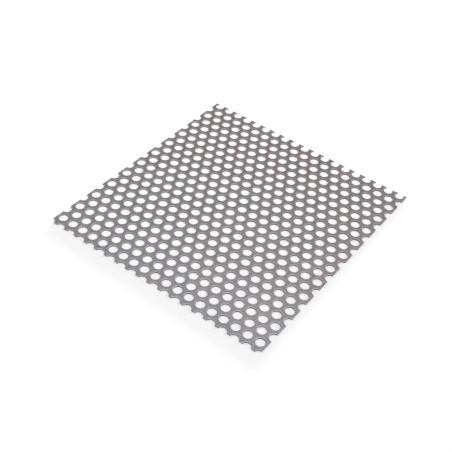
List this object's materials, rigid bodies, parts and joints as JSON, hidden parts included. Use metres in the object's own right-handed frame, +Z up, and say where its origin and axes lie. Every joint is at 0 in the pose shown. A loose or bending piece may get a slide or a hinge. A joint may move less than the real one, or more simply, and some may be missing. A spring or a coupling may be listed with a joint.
{
  "type": "perforated metal sheet",
  "caption": "Flat steel sheet punched all over with round holes in staggered rows, sheared to a near-square piece through its outermost holes.",
  "frame": {"origin": "on the underside, below the middle of the sheet", "axes": "+X along the hole rows, +Y across the hole rows, +Z up through the gauge"},
  "size_m": [0.19, 0.201, 0.001],
  "materials": {
    "steel": "matte mill finish, uncoated"
  },
  "bodies": {
    "root": {"perforated_sheet": "steel"}
  },
  "joints": []
}
